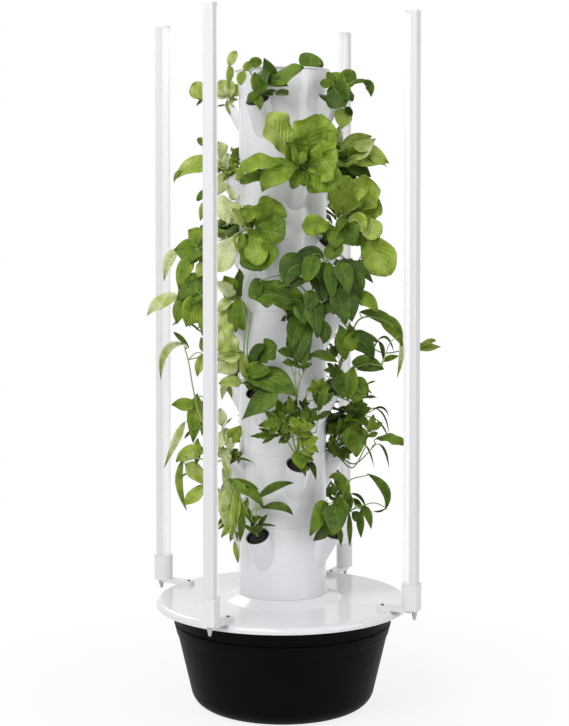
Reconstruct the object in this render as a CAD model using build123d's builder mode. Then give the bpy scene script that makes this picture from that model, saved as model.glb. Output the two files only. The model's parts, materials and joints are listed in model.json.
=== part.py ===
from build123d import *
import math
import os

os.makedirs("parts", exist_ok=True)

# Hydroponic tower: a black water tub, a white lid, a column of stacked planting sections with
# tilted pockets, and four lit bars that stand round it. Lengths are in millimetres.
# The frame stands on the floor under the column's axis, with +Z up. The light bars are at -Y, +X,
# +Y and -X, so the first planting section's pockets point the same four ways.

# Shared values
fit_gap = 0.3
cut_overrun = 5.0
bar_azimuths = (-90, 0, 90, 180)

# Tub
tub_height = 248.5
tub_top_radius = 268.0
tub_floor_radius = 209.0
tub_wall = 4.0
tub_foot_fillet = 45.0
tub_band_low = 170.0
tub_band_high = 196.0
tub_band_proud = 2.5
tub_flange_radius = 282.0
tub_flange_thickness = 4.0

# Lid
lid_radius = 298.5
lid_wall = 3.5
lid_skirt = 15.0
lid_edge_fillet = 12.0
lid_bead_proud = 1.5
lid_bead_height = 3.0
lid_ring_depth = 10.0
lid_ring_wall = 3.0
lid_ring_gap = 0.8
boss_radius = 140.0
boss_height = 14.0
boss_slope = 32.0
boss_fillet = 12.0
notch_width = 42.0
notch_depth = 12.0
notch_floor = 6.0

# Fill port in the lid, behind the column
port_azimuth = 125.0
port_distance = 205.0
port_radius = 50.0
port_rim_radius = 55.0
port_rim_height = 4.0
cap_radius = 58.0
cap_wall = 2.5
cap_skirt_depth = 8.0
cap_grip_length = 60.0
cap_grip_width = 12.0
cap_grip_height = 9.0

# Column of planting sections
section_count = 7
section_pitch = 168.0
section_turn = 45
column_radius = 103.5
column_wall = 3.0
collar_height = 20.0
collar_root = 6.0
collar_wall = 3.0
seam_chamfer = 0.9

# Pockets of a section
pocket_tilt = 32.0
pocket_radius = 29.0
pocket_bore_radius = 26.0
mouth_distance = 123.4
mouth_drop = 16.2

# Net pots
pot_sides = 12
pot_rim_radius = 27.5
pot_rim_height = 1.5
pot_top_radius = 25.4
pot_foot_radius = 18.0
pot_depth = 50.0
pot_wall = 1.4

# Drip plate, riser and top cap
riser_radius = 11.0
riser_bore_radius = 8.2
riser_rise = 6.0
drip_plate_thickness = 3.0
drip_hole_radius = 2.0
drip_hole_count = 8
drip_ring_radius = 60.0
top_cap_height = 61.0
top_cap_wall = 3.0
top_cap_shoulder_radius = 108.5
top_cap_rim_radius = 112.0
top_cap_rim_height = 3.0
top_cap_dish = 9.0

# Light bars
bar_face_radius = 333.0
bar_width = 27.0
channel_depth = 16.0
channel_wall = 1.6
channel_corner = 4.0
dome_depth = 19.0
dome_wall = 1.6
dome_leg = 6.0
strip_width = 16.0
strip_thickness = 1.6
bar_top = 1624.0
end_cap_height = 4.0
end_screw_radius = 2.6
end_screw_head = 1.2
end_screw_drop = 18.0

# Brackets
socket_wall = 3.0
socket_low = 6.0
socket_floor = 3.0
socket_height = 61.0
socket_lip_height = 3.0
socket_lip_proud = 0.8
arm_width = 26.0
arm_height = 9.0
arm_inner_radius = 250.0
arm_corner_share = 0.33
screw_radius = 2.0
screw_head_radius = 3.8
screw_head_height = 2.2
screw_inset = 11.0
gland_offset = 8.0
gland_top_radius = 6.5
gland_tip_radius = 3.0
gland_neck_radius = 4.5
gland_bore_radius = 1.8
gland_length = 22.0
gland_shoulder = 6.0

# Pump
pump_axis_height = 42.0
pump_width = 58.0
volute_depth = 22.0
volute_radius = 25.0
motor_depth = 42.0
motor_height = 50.0
motor_corner = 7.0
chamber_radius = 21.0
chamber_wall = 3.0
rotor_radius = 8.0
rotor_length = 30.0
rotor_gap = 0.7
shaft_radius = 1.5
shaft_running_gap = 0.05
blade_count = 6
blade_length = 17.0
blade_height = 14.0
blade_thickness = 1.6
disc_thickness = 2.0
inlet_radius = 9.0
cover_depth = 16.0
cover_wall = 2.0
cover_corner = 6.0
cover_slot_count = 7
cover_slot_width = 3.0
cover_slot_length = 34.0
cover_slot_pitch = 6.4
outlet_radius = 8.0
outlet_bore_radius = 5.5
outlet_length = 24.0
cup_radius = 9.0
cup_neck_radius = 4.0
cup_rim_share = 0.25
cup_spread_x = 20.0
cup_spread_y = 17.0

# Plants: a plug that stands in the net pot, and a stem with tiers of leaves
plug_gap = 0.5
plug_sides = 8
stem_radius = 5.0
stem_sides = 6
leaf_thickness = 3.0
leaf_length_shares = (0, 0.48, 0.8)
leaf_width_shares = (0.12, 1.0, 0.66)
tier_lift = 22
tier_shrink_share = 0.16
inward_lift = 25
# For each kind: stem height, tiers, leaves in a tier, leaf length and width, and their rise in degrees
plant_kinds = {
    "sprout": (44.0, 2, 3, 44.0, 30.0, 32),
    "lettuce": (26.0, 2, 4, 92.0, 74.0, 26),
    "basil": (88.0, 3, 3, 72.0, 54.0, 16),
    "parsley": (86.0, 3, 3, 66.0, 54.0, 30),
    "tarragon": (72.0, 2, 4, 92.0, 30.0, 36),
    "mint": (94.0, 3, 3, 68.0, 48.0, 18),
}
# One row for each section from the lowest up, with the kinds in the order of its pockets
section_plants = (
    ("tarragon", "basil", "mint", "tarragon"),
    ("parsley", "parsley", "basil", "mint"),
    ("mint", "tarragon", "parsley", "mint"),
    ("basil", "lettuce", "basil", "basil"),
    ("lettuce", "lettuce", "basil", "mint"),
    ("lettuce", "lettuce", "lettuce", "basil"),
    ("sprout", "sprout", "sprout", "sprout"),
)

# Values that follow from the ones above
lid_top = tub_height + lid_wall
lid_low = lid_top - lid_skirt
column_foot = lid_top + boss_height
column_bore = column_radius - column_wall
collar_radius = column_bore - fit_gap
collar_bore = collar_radius - collar_wall
column_top = column_foot + section_count * section_pitch
tilt_sin = math.sin(math.radians(pocket_tilt))
tilt_cos = math.cos(math.radians(pocket_tilt))
pocket_depth = (mouth_distance + pocket_radius * tilt_cos - column_bore) / tilt_sin + cut_overrun
pot_seat_radius = pot_rim_radius + fit_gap
bar_half = bar_width / 2
channel_half_bore = bar_half - channel_wall
strip_back = channel_depth - channel_wall
socket_bottom = lid_top + socket_low
bar_bottom = socket_bottom + socket_floor + fit_gap
bar_length = bar_top - bar_bottom
socket_grow = fit_gap + socket_wall
screw_distance = arm_inner_radius + screw_inset
screw_hole_radius = screw_radius + fit_gap
drip_plate_bottom = column_top + collar_height
riser_top = drip_plate_bottom + drip_plate_thickness + riser_rise
motor_front = volute_depth / 2
pump_bottom = pump_axis_height - motor_height / 2
outlet_top = pump_axis_height + volute_radius + outlet_length


def tub_radius(height):
    """Outer radius of the tub's drafted wall at a height above the floor."""
    return tub_floor_radius + (tub_top_radius - tub_floor_radius) * height / tub_height


def outward(azimuth):
    """Unit vector away from the column's axis."""
    return Vector(1, 0, 0).rotate(Axis.Z, azimuth)


def upright_plane(azimuth, distance, height):
    """Level plane whose x points away from the column's axis."""
    centre = outward(azimuth) * distance + Vector(0, 0, height)
    return Plane(origin=centre, x_dir=outward(azimuth), z_dir=(0, 0, 1))


def radial_plane(azimuth):
    """Upright plane through the column's axis: x points outward, y up."""
    return Plane(origin=(0, 0, 0), x_dir=outward(azimuth), z_dir=outward(azimuth - 90))


def mouth_plane(azimuth, seam_height):
    """Plane of a pocket's mouth: z runs up and out along the pocket, x down and out."""
    out = outward(azimuth)
    up = Vector(0, 0, 1)
    centre = out * mouth_distance + up * (seam_height - mouth_drop)
    return Plane(origin=centre, x_dir=out * tilt_cos - up * tilt_sin, z_dir=out * tilt_sin + up * tilt_cos)


def pocket_planes(number):
    """The four mouth planes of a section, counted from 1 at the bottom."""
    turn = section_turn * (1 - number % 2)
    seam_height = column_foot + number * section_pitch
    return [mouth_plane(azimuth + turn, seam_height) for azimuth in bar_azimuths]


def pump_plane(distance):
    """Plane across the pump's shaft, facing +Y, at a distance behind the volute's middle."""
    centre = Vector(0, distance, pump_axis_height)
    return Plane(origin=centre, x_dir=(1, 0, 0), z_dir=(0, 1, 0))


def ring_sketch(outer_radius, inner_radius):
    """A flat ring in the sketch that is being made."""
    Circle(outer_radius)
    Circle(inner_radius, mode=Mode.SUBTRACT)


def bar_outline(grow):
    """The light bar's D-shaped outline, grown evenly: square back outwards, dome towards the column."""
    width = bar_width + 2 * grow
    Ellipse(dome_depth + grow, width / 2)
    Rectangle(dome_depth + grow, width, align=(Align.MIN, Align.CENTER), mode=Mode.SUBTRACT)
    Rectangle(channel_depth + grow, width, align=(Align.MIN, Align.CENTER))
    fillet(vertices().group_by(Axis.X)[-1], channel_corner)


def save(builder, name):
    """Label a finished piece and write its file."""
    builder.part.label = name
    export_step(builder.part, f"parts/{name}.step")


# Reservoir tub: drafted wall with a proud band, a round foot and a rim flange
with BuildPart() as reservoir:
    with BuildSketch(Plane.XZ):
        with BuildLine():
            Polyline(
                (0, 0),
                (tub_floor_radius, 0),
                (tub_radius(tub_band_low), tub_band_low),
                (tub_radius(tub_band_low) + tub_band_proud, tub_band_low + tub_band_proud),
                (tub_radius(tub_band_high) + tub_band_proud, tub_band_high),
                (tub_radius(tub_band_high), tub_band_high + tub_band_proud),
                (tub_radius(tub_height - tub_flange_thickness), tub_height - tub_flange_thickness),
                (tub_flange_radius, tub_height - tub_flange_thickness),
                (tub_flange_radius, tub_height),
                (0, tub_height),
                close=True,
            )
        make_face()
        fillet(vertices().sort_by_distance((tub_floor_radius, 0))[0], tub_foot_fillet)
    revolve(axis=Axis.Z)
    with BuildSketch(Plane.XZ):
        with BuildLine():
            Polyline(
                (0, tub_wall),
                (tub_radius(tub_wall) - tub_wall, tub_wall),
                (tub_radius(tub_height) - tub_wall, tub_height),
                (0, tub_height),
                close=True,
            )
        make_face()
        fillet(
            vertices().sort_by_distance((tub_radius(tub_wall) - tub_wall, tub_wall))[0],
            tub_foot_fillet - tub_wall,
        )
    revolve(axis=Axis.Z, mode=Mode.SUBTRACT)
save(reservoir, "reservoir")

# Lid: one drawn skin with a rolled edge and a raised boss, a locating ring and the column's collar
ring_radius = tub_radius(tub_height - lid_ring_depth) - tub_wall - lid_ring_gap
recess_back = lid_radius - notch_depth - lid_wall
recess_turn = 2 * math.degrees(math.asin((notch_width / 2 + lid_wall) / lid_radius))
with BuildPart() as lid:
    with BuildSketch(Plane.XZ):
        with BuildLine():
            FilletPolyline(
                (collar_bore, column_foot),
                (boss_radius - boss_slope, column_foot),
                (boss_radius, lid_top),
                (lid_radius, lid_top),
                (lid_radius, lid_low),
                radius=(lid_wall + boss_fillet, boss_fillet, lid_edge_fillet),
            )
            offset(amount=lid_wall, side=Side.RIGHT)
        make_face()
    revolve(axis=Axis.Z)
    with BuildSketch(Plane.XY.offset(lid_low)):
        ring_sketch(lid_radius + lid_bead_proud, lid_radius - lid_wall)
    extrude(amount=lid_bead_height)
    with BuildSketch(Plane.XY.offset(tub_height)):
        ring_sketch(ring_radius, ring_radius - lid_ring_wall)
    extrude(amount=-lid_ring_depth)
    with BuildSketch(Plane.XY.offset(column_foot - lid_wall)):
        ring_sketch(collar_radius, collar_bore)
    extrude(amount=lid_wall + collar_height)
    with BuildSketch(upright_plane(port_azimuth, port_distance, lid_top)):
        Circle(port_rim_radius)
    extrude(amount=port_rim_height)
    with BuildSketch(upright_plane(port_azimuth, port_distance, tub_height)):
        Circle(port_radius)
    extrude(amount=lid_wall + port_rim_height, mode=Mode.SUBTRACT)
    for azimuth in bar_azimuths:
        with BuildSketch(radial_plane(azimuth - recess_turn / 2)):
            with BuildLine():
                Polyline(
                    (recess_back, lid_low + notch_floor - lid_wall),
                    (lid_radius, lid_low + notch_floor - lid_wall),
                    (lid_radius, lid_top),
                    (recess_back, lid_top),
                    close=True,
                )
            make_face()
            fillet(vertices().sort_by_distance((lid_radius, lid_top))[0], lid_edge_fillet)
        revolve(axis=Axis.Z, revolution_arc=recess_turn)
        with BuildSketch(upright_plane(azimuth, lid_radius + cut_overrun, lid_low + notch_floor)):
            Rectangle(notch_depth + cut_overrun, notch_width, align=(Align.MAX, Align.CENTER))
        extrude(amount=lid_skirt, mode=Mode.SUBTRACT)
        with BuildSketch(upright_plane(azimuth, screw_distance, tub_height)):
            Circle(screw_hole_radius)
        extrude(amount=lid_wall, mode=Mode.SUBTRACT)
save(lid, "lid")

# Fill cap: a shallow lid with a skirt inside the port and a grip bar across its top
with BuildPart() as fill_cap:
    with BuildSketch(upright_plane(port_azimuth, port_distance, lid_top + port_rim_height)):
        Circle(cap_radius)
    extrude(amount=cap_wall)
    fillet(fill_cap.edges().group_by(Axis.Z)[-1], cap_wall / 2)
    with BuildSketch(upright_plane(port_azimuth, port_distance, lid_top + port_rim_height)):
        ring_sketch(port_radius - fit_gap, port_radius - fit_gap - cap_wall)
    extrude(amount=-cap_skirt_depth)
    with BuildSketch(upright_plane(port_azimuth, port_distance, lid_top + port_rim_height + cap_wall)):
        SlotOverall(cap_grip_length, cap_grip_width)
    extrude(amount=cap_grip_height)
    fillet(fill_cap.edges().group_by(Axis.Z)[-1], cap_wall)
save(fill_cap, "fill_cap")

# Planting sections: a tube with four tilted pockets, and a collar that the next section sits over
for number in range(1, section_count + 1):
    section_foot = column_foot + (number - 1) * section_pitch
    planes = pocket_planes(number)
    with BuildPart() as section:
        with BuildSketch(Plane.XY.offset(section_foot)):
            Circle(column_radius)
        extrude(amount=section_pitch)
        with BuildSketch(*planes):
            Circle(pocket_radius)
        extrude(amount=-pocket_depth)
        with BuildSketch(Plane.XY.offset(section_foot)):
            Circle(collar_bore)
        extrude(amount=section_pitch, mode=Mode.SUBTRACT)
        with BuildSketch(Plane.XY.offset(section_foot)):
            Circle(column_bore)
        extrude(amount=section_pitch - collar_root, mode=Mode.SUBTRACT)
        with BuildSketch(*planes):
            Circle(pocket_bore_radius)
        extrude(amount=-pocket_depth - cut_overrun, mode=Mode.SUBTRACT)
        with BuildSketch(*planes):
            Circle(pot_seat_radius)
        extrude(amount=cut_overrun + cut_overrun, mode=Mode.SUBTRACT)
        with BuildSketch(Plane.XY.offset(section_foot + section_pitch)):
            ring_sketch(collar_radius, collar_bore)
        extrude(amount=collar_height)
        foot_edges = section.edges().filter_by(GeomType.CIRCLE).group_by(Axis.Z)[0]
        chamfer(foot_edges.sort_by(SortBy.RADIUS)[-1], seam_chamfer)
    save(section, f"tower_section_{number}")

# Net pot, made once about its own axis with the mouth's plane at zero
with BuildPart() as net_pot:
    with BuildSketch(Plane.XY.offset(-pot_depth)) as pot_foot:
        RegularPolygon(pot_foot_radius, pot_sides)
    with BuildSketch(Plane.XY) as pot_mouth:
        RegularPolygon(pot_top_radius, pot_sides)
    loft(ruled=True)
    with BuildSketch(Plane.XY):
        RegularPolygon(pot_rim_radius, pot_sides)
    extrude(amount=pot_rim_height)
    with BuildSketch(Plane.XY.offset(pot_wall - pot_depth)):
        RegularPolygon(pot_foot_radius - pot_wall, pot_sides)
    with BuildSketch(Plane.XY.offset(pot_rim_height)):
        RegularPolygon(pot_top_radius - pot_wall, pot_sides)
    loft(ruled=True, mode=Mode.SUBTRACT)

for number in range(1, section_count + 1):
    with BuildPart() as pots:
        with Locations(*[plane.location for plane in pocket_planes(number)]):
            add(net_pot.part)
    save(pots, f"net_pots_{number}")


def leaf_outline(length, width):
    """A leaf blade that starts on the stem and points along x."""
    edge = [
        (length * along, width * across / 2)
        for along, across in zip(leaf_length_shares, leaf_width_shares)
    ]
    Polygon(*edge, (length, 0), *[(along, -across) for along, across in reversed(edge)], align=None)


def leaf_plane(height, azimuth, rise):
    """Plane of a blade that leaves the stem at a height, with the rise of its midrib in degrees."""
    along = Vector(1, 0, 0).rotate(Axis.Y, -rise).rotate(Axis.Z, azimuth)
    facing = Vector(0, 0, 1).rotate(Axis.Y, -rise).rotate(Axis.Z, azimuth)
    return Plane(origin=(0, 0, height), x_dir=along, z_dir=facing)


# Plants, one of each kind about its own axis: a plug with the mouth's plane at zero, and the leafy
# stem above it, where the leaves on the column's side stand more upright to keep off the column
pot_flat_share = math.cos(math.pi / pot_sides)
plug_top_radius = (pot_top_radius - pot_wall) * pot_flat_share - plug_gap
plug_foot_radius = (pot_foot_radius - pot_wall) * pot_flat_share - plug_gap
plant_parts = {}
for kind, (stem_height, tiers, leaf_count, leaf_length, leaf_width, leaf_rise) in plant_kinds.items():
    with BuildPart() as plant:
        with BuildSketch(Plane.XY.offset(pot_wall - pot_depth)):
            RegularPolygon(plug_foot_radius, plug_sides)
        with BuildSketch(Plane.XY):
            RegularPolygon(plug_top_radius, plug_sides)
        loft(ruled=True)
        with BuildSketch(Plane.XY):
            RegularPolygon(stem_radius, stem_sides)
        extrude(amount=stem_height)
        for tier in range(tiers):
            size_share = 1 - tier * tier_shrink_share
            leaf_planes = []
            for leaf in range(leaf_count):
                azimuth = 360 / leaf_count * (leaf + tier / 2)
                inward_share = (1 - math.cos(math.radians(azimuth))) / 2
                rise = leaf_rise + tier * tier_lift + inward_lift * inward_share
                leaf_planes.append(leaf_plane(stem_height * (tier + 1) / tiers, azimuth, rise))
            with BuildSketch(*leaf_planes):
                leaf_outline(leaf_length * size_share, leaf_width * size_share)
            extrude(amount=leaf_thickness / 2, both=True)
    plant_parts[kind] = plant.part

for number in range(1, section_count + 1):
    with BuildPart() as plants:
        for plane, kind in zip(pocket_planes(number), section_plants[number - 1]):
            with Locations(plane.location):
                add(plant_parts[kind])
    save(plants, f"plants_{number}")

# Riser tube: from the pump's outlet up the column's axis to just above the drip plate
riser_bottom = outlet_top - outlet_length + fit_gap
with BuildPart() as riser_tube:
    with BuildSketch(Plane.XY.offset(riser_bottom)):
        ring_sketch(riser_radius, riser_bore_radius)
    extrude(amount=riser_top - riser_bottom)
save(riser_tube, "riser_tube")

# Drip plate: rests on the top section's collar and spreads the water through a ring of holes
with BuildPart() as drip_plate:
    with BuildSketch(Plane.XY.offset(drip_plate_bottom)):
        ring_sketch(collar_radius, riser_radius + fit_gap)
        with PolarLocations(drip_ring_radius, drip_hole_count):
            Circle(drip_hole_radius, mode=Mode.SUBTRACT)
    extrude(amount=drip_plate_thickness)
save(drip_plate, "drip_plate")

# Top cap: flared wall with a thin rim, closed by a dished top
cap_top = column_top + top_cap_height
with BuildPart() as top_cap:
    with BuildSketch(Plane.XZ):
        with BuildLine():
            Polyline(
                (0, cap_top - top_cap_dish),
                (top_cap_shoulder_radius - top_cap_wall, cap_top - top_cap_dish),
                (top_cap_shoulder_radius - top_cap_wall, cap_top),
                (top_cap_rim_radius, cap_top),
                (top_cap_rim_radius, cap_top - top_cap_rim_height),
                (top_cap_shoulder_radius, cap_top - 2 * top_cap_rim_height),
                (column_radius, column_top),
                (column_bore, column_top),
                (column_bore, drip_plate_bottom + drip_plate_thickness + fit_gap),
                (top_cap_shoulder_radius - 2 * top_cap_wall, cap_top - top_cap_dish - top_cap_wall),
                (0, cap_top - top_cap_dish - top_cap_wall),
                close=True,
            )
        make_face()
    revolve(axis=Axis.Z)
save(top_cap, "top_cap")

# Light bars: a channel, a domed diffuser with legs inside it, a strip and two end caps
for number, azimuth in enumerate(bar_azimuths, start=1):
    low_plane = upright_plane(azimuth, bar_face_radius, bar_bottom)
    cover_low = low_plane.offset(end_cap_height)
    body_length = bar_length - 2 * end_cap_height

    with BuildPart() as channel:
        with BuildSketch(cover_low):
            with Locations((channel_depth, 0)):
                Rectangle(channel_depth, bar_width, align=(Align.MAX, Align.CENTER))
            fillet(vertices().group_by(Axis.X)[-1], channel_corner)
            Rectangle(strip_back, 2 * channel_half_bore, align=(Align.MIN, Align.CENTER), mode=Mode.SUBTRACT)
        extrude(amount=body_length)
    save(channel, f"bar_channel_{number}")

    with BuildPart() as diffuser:
        with BuildSketch(cover_low):
            Ellipse(dome_depth, bar_half)
            Rectangle(dome_depth, bar_width, align=(Align.MIN, Align.CENTER), mode=Mode.SUBTRACT)
            Rectangle(dome_leg, 2 * (channel_half_bore - fit_gap), align=(Align.MIN, Align.CENTER))
            Ellipse(
                dome_depth - dome_wall, channel_half_bore - fit_gap - dome_wall, mode=Mode.SUBTRACT
            )
        extrude(amount=body_length)
    save(diffuser, f"bar_diffuser_{number}")

    with BuildPart() as strip:
        with BuildSketch(cover_low):
            with Locations((strip_back, 0)):
                Rectangle(strip_thickness, strip_width, align=(Align.MAX, Align.CENTER))
        extrude(amount=body_length)
    save(strip, f"led_strip_{number}")

    with BuildPart() as end_caps:
        for plane, direction in ((low_plane, 1), (low_plane.offset(bar_length), -1)):
            with BuildSketch(plane):
                bar_outline(0)
            extrude(amount=direction * end_cap_height)
        screw_centre = outward(azimuth) * (bar_face_radius + channel_depth)
        screw_centre += Vector(0, 0, bar_top - end_screw_drop)
        with BuildSketch(Plane(origin=screw_centre, z_dir=outward(azimuth))):
            Circle(end_screw_radius)
        extrude(amount=end_screw_head)
    save(end_caps, f"bar_end_caps_{number}")

# Brackets: a D-shaped socket that holds the bar's foot, and a flat arm screwed to the lid
for number, azimuth in enumerate(bar_azimuths, start=1):
    with BuildPart() as bracket:
        with BuildSketch(upright_plane(azimuth, bar_face_radius, socket_bottom)):
            bar_outline(socket_grow)
        extrude(amount=socket_height)
        with BuildSketch(upright_plane(azimuth, bar_face_radius, socket_bottom + socket_height)):
            bar_outline(socket_grow + socket_lip_proud)
        extrude(amount=-socket_lip_height)
        with BuildSketch(upright_plane(azimuth, arm_inner_radius, lid_top)):
            Rectangle(
                bar_face_radius - arm_inner_radius, arm_width, align=(Align.MIN, Align.CENTER)
            )
            fillet(vertices().group_by(Axis.X)[0], arm_width * arm_corner_share)
        extrude(amount=arm_height)
        with BuildSketch(upright_plane(azimuth, bar_face_radius, socket_bottom + socket_floor)):
            bar_outline(fit_gap)
        extrude(amount=socket_height, mode=Mode.SUBTRACT)
        with BuildSketch(upright_plane(azimuth, screw_distance, lid_top)):
            Circle(screw_hole_radius)
        extrude(amount=arm_height, mode=Mode.SUBTRACT)
        with BuildSketch(upright_plane(azimuth, bar_face_radius + gland_offset, lid_top)):
            Circle(gland_neck_radius + fit_gap)
        extrude(amount=socket_low + socket_floor, mode=Mode.SUBTRACT)
    save(bracket, f"light_bracket_{number}")

# Bracket screws: one through each arm into the lid
with BuildPart() as bracket_screws:
    heads = [upright_plane(azimuth, screw_distance, lid_top + arm_height) for azimuth in bar_azimuths]
    with BuildSketch(*heads):
        Circle(screw_head_radius)
    extrude(amount=screw_head_height)
    with BuildSketch(*heads):
        Circle(screw_radius)
    extrude(amount=-arm_height - lid_wall)
save(bracket_screws, "bracket_screws")

# Cord glands: a tapered boot under each socket, with its neck through the socket's floor
with BuildPart() as cord_glands:
    for azimuth in bar_azimuths:
        gland_distance = bar_face_radius + gland_offset
        with BuildSketch(radial_plane(azimuth)):
            with BuildLine():
                Polyline(
                    (gland_distance + gland_bore_radius, socket_bottom - gland_length),
                    (gland_distance + gland_tip_radius, socket_bottom - gland_length),
                    (gland_distance + gland_top_radius, socket_bottom - gland_shoulder),
                    (gland_distance + gland_top_radius, socket_bottom),
                    (gland_distance + gland_neck_radius, socket_bottom),
                    (gland_distance + gland_neck_radius, socket_bottom + socket_floor),
                    (gland_distance + gland_bore_radius, socket_bottom + socket_floor),
                    close=True,
                )
            make_face()
        revolve(axis=Axis(outward(azimuth) * gland_distance, (0, 0, 1)))
save(cord_glands, "cord_glands")

# Pump housing: a motor block behind a round volute, with the outlet on the column's axis
rotor_bore_radius = rotor_radius + rotor_gap
chamber_depth = volute_depth - chamber_wall
disc_front = -volute_depth / 2 + chamber_depth - rotor_gap
rotor_bore_end = disc_front + rotor_length + rotor_gap
with BuildPart() as pump_housing:
    with BuildSketch(pump_plane(-volute_depth / 2)):
        Circle(volute_radius)
    extrude(amount=volute_depth)
    with BuildSketch(pump_plane(motor_front)):
        RectangleRounded(pump_width, motor_height, motor_corner)
    extrude(amount=motor_depth)
    with BuildSketch(Plane.XY.offset(pump_axis_height)):
        Circle(outlet_radius)
    extrude(amount=volute_radius + outlet_length)
    with BuildSketch(pump_plane(-volute_depth / 2)):
        Circle(chamber_radius)
    extrude(amount=chamber_depth, mode=Mode.SUBTRACT)
    with BuildSketch(pump_plane(-volute_depth / 2)):
        Circle(rotor_bore_radius)
    extrude(amount=volute_depth / 2 + rotor_bore_end, mode=Mode.SUBTRACT)
    with BuildSketch(Plane.XY.offset(pump_axis_height)):
        Circle(outlet_bore_radius)
    extrude(amount=volute_radius + outlet_length, mode=Mode.SUBTRACT)
save(pump_housing, "pump_housing")

# Rotor shaft: fixed in the end of the rotor's bore and in the cover's front plate
shaft_front = -volute_depth / 2
shaft_back = rotor_bore_end
with BuildPart() as rotor_shaft:
    with BuildSketch(pump_plane(shaft_front)):
        Circle(shaft_radius)
    extrude(amount=shaft_back - shaft_front)
save(rotor_shaft, "rotor_shaft")

# Impeller: magnet rotor, disc and straight blades round a bored hub
hub_radius = rotor_radius / 2
with BuildPart() as impeller:
    with BuildSketch(pump_plane(disc_front)):
        Circle(rotor_radius)
    extrude(amount=rotor_length)
    with BuildSketch(pump_plane(disc_front)):
        Circle(blade_length)
    extrude(amount=-disc_thickness)
    with BuildSketch(pump_plane(disc_front - disc_thickness)):
        Circle(hub_radius)
        with PolarLocations(0, blade_count):
            Rectangle(blade_length, blade_thickness, align=(Align.MIN, Align.CENTER))
    extrude(amount=-blade_height)
    with BuildSketch(pump_plane(-volute_depth / 2)):
        Circle(shaft_radius + shaft_running_gap)
    extrude(amount=volute_depth + rotor_length, mode=Mode.SUBTRACT)
save(impeller, "impeller")

# Intake cover: a plate with the inlet and the shaft's seat, and a slotted strainer in front of it
cover_back = -volute_depth / 2
cover_plane = Plane(origin=(0, cover_back, pump_axis_height), x_dir=(1, 0, 0), z_dir=(0, -1, 0))
with BuildPart() as intake_cover:
    with BuildSketch(cover_plane):
        RectangleRounded(pump_width, motor_height, cover_corner)
    extrude(amount=cover_depth)
    with BuildSketch(cover_plane.offset(cover_wall)):
        RectangleRounded(
            pump_width - 2 * cover_wall, motor_height - 2 * cover_wall, cover_corner - cover_wall
        )
    extrude(amount=cover_depth - 2 * cover_wall, mode=Mode.SUBTRACT)
    with BuildSketch(cover_plane):
        ring_sketch(inlet_radius, inlet_radius / 2)
        Rectangle(2 * inlet_radius, blade_thickness, mode=Mode.SUBTRACT)
    extrude(amount=cover_wall, mode=Mode.SUBTRACT)
    with BuildSketch(cover_plane.offset(cover_depth)):
        with GridLocations(cover_slot_pitch, 0, cover_slot_count, 1):
            Rectangle(cover_slot_width, cover_slot_length)
    extrude(amount=-cover_wall, mode=Mode.SUBTRACT)
save(intake_cover, "pump_intake_cover")

# Suction cups: four soft feet between the tub's floor and the pump's underside
with BuildPart() as suction_cups:
    with BuildSketch(Plane.XY.offset(tub_wall)):
        with Locations((0, motor_front + motor_depth / 2)):
            with GridLocations(2 * cup_spread_x, 2 * cup_spread_y, 2, 2):
                Circle(cup_radius)
    extrude(amount=(pump_bottom - tub_wall) * cup_rim_share)
    with BuildSketch(Plane.XY.offset(tub_wall)):
        with Locations((0, motor_front + motor_depth / 2)):
            with GridLocations(2 * cup_spread_x, 2 * cup_spread_y, 2, 2):
                Circle(cup_neck_radius)
    extrude(amount=pump_bottom - tub_wall)
save(suction_cups, "pump_suction_cups")
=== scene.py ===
"""Hydroponic tower: the looks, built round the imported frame. Lengths are in metres."""
import json
import math
import random

import bpy
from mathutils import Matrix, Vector


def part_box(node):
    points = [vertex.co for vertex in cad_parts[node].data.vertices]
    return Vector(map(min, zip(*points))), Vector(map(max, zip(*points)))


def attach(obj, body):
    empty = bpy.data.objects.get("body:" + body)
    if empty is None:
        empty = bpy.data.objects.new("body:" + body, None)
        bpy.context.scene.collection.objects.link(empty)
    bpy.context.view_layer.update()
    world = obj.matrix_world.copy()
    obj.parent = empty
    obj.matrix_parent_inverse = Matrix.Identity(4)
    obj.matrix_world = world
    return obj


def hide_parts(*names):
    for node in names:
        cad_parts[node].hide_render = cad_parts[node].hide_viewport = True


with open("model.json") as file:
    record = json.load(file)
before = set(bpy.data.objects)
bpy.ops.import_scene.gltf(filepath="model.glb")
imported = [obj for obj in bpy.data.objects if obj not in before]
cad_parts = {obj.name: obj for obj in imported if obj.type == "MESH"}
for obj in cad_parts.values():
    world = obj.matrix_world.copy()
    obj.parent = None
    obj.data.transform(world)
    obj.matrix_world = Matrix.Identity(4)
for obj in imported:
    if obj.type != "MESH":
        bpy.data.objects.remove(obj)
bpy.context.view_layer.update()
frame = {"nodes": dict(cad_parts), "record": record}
nodes = frame["nodes"]
UP = Vector((0, 0, 1))

# The photograph's camera
IMAGE_WIDTH, IMAGE_HEIGHT = 569, 726
FOCAL_PIXELS = 1608.0
SENSOR = 36.0
VIEW_AZIMUTH = math.radians(28.0)
CAMERA_DISTANCE = 3.81
CAMERA_HEIGHT = 1.165
CAMERA_PITCH = math.radians(1.80)
SHIFT_X = 0.0026
SHIFT_Y = -0.1365
NEAR_LIMIT, FAR_LIMIT = 0.05, 60
AHEAD = Vector((-math.sin(VIEW_AZIMUTH), math.cos(VIEW_AZIMUTH), 0))
RIGHT = Vector((math.cos(VIEW_AZIMUTH), math.sin(VIEW_AZIMUTH), 0))
CAMERA_PLACE = -AHEAD * CAMERA_DISTANCE + UP * CAMERA_HEIGHT

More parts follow.
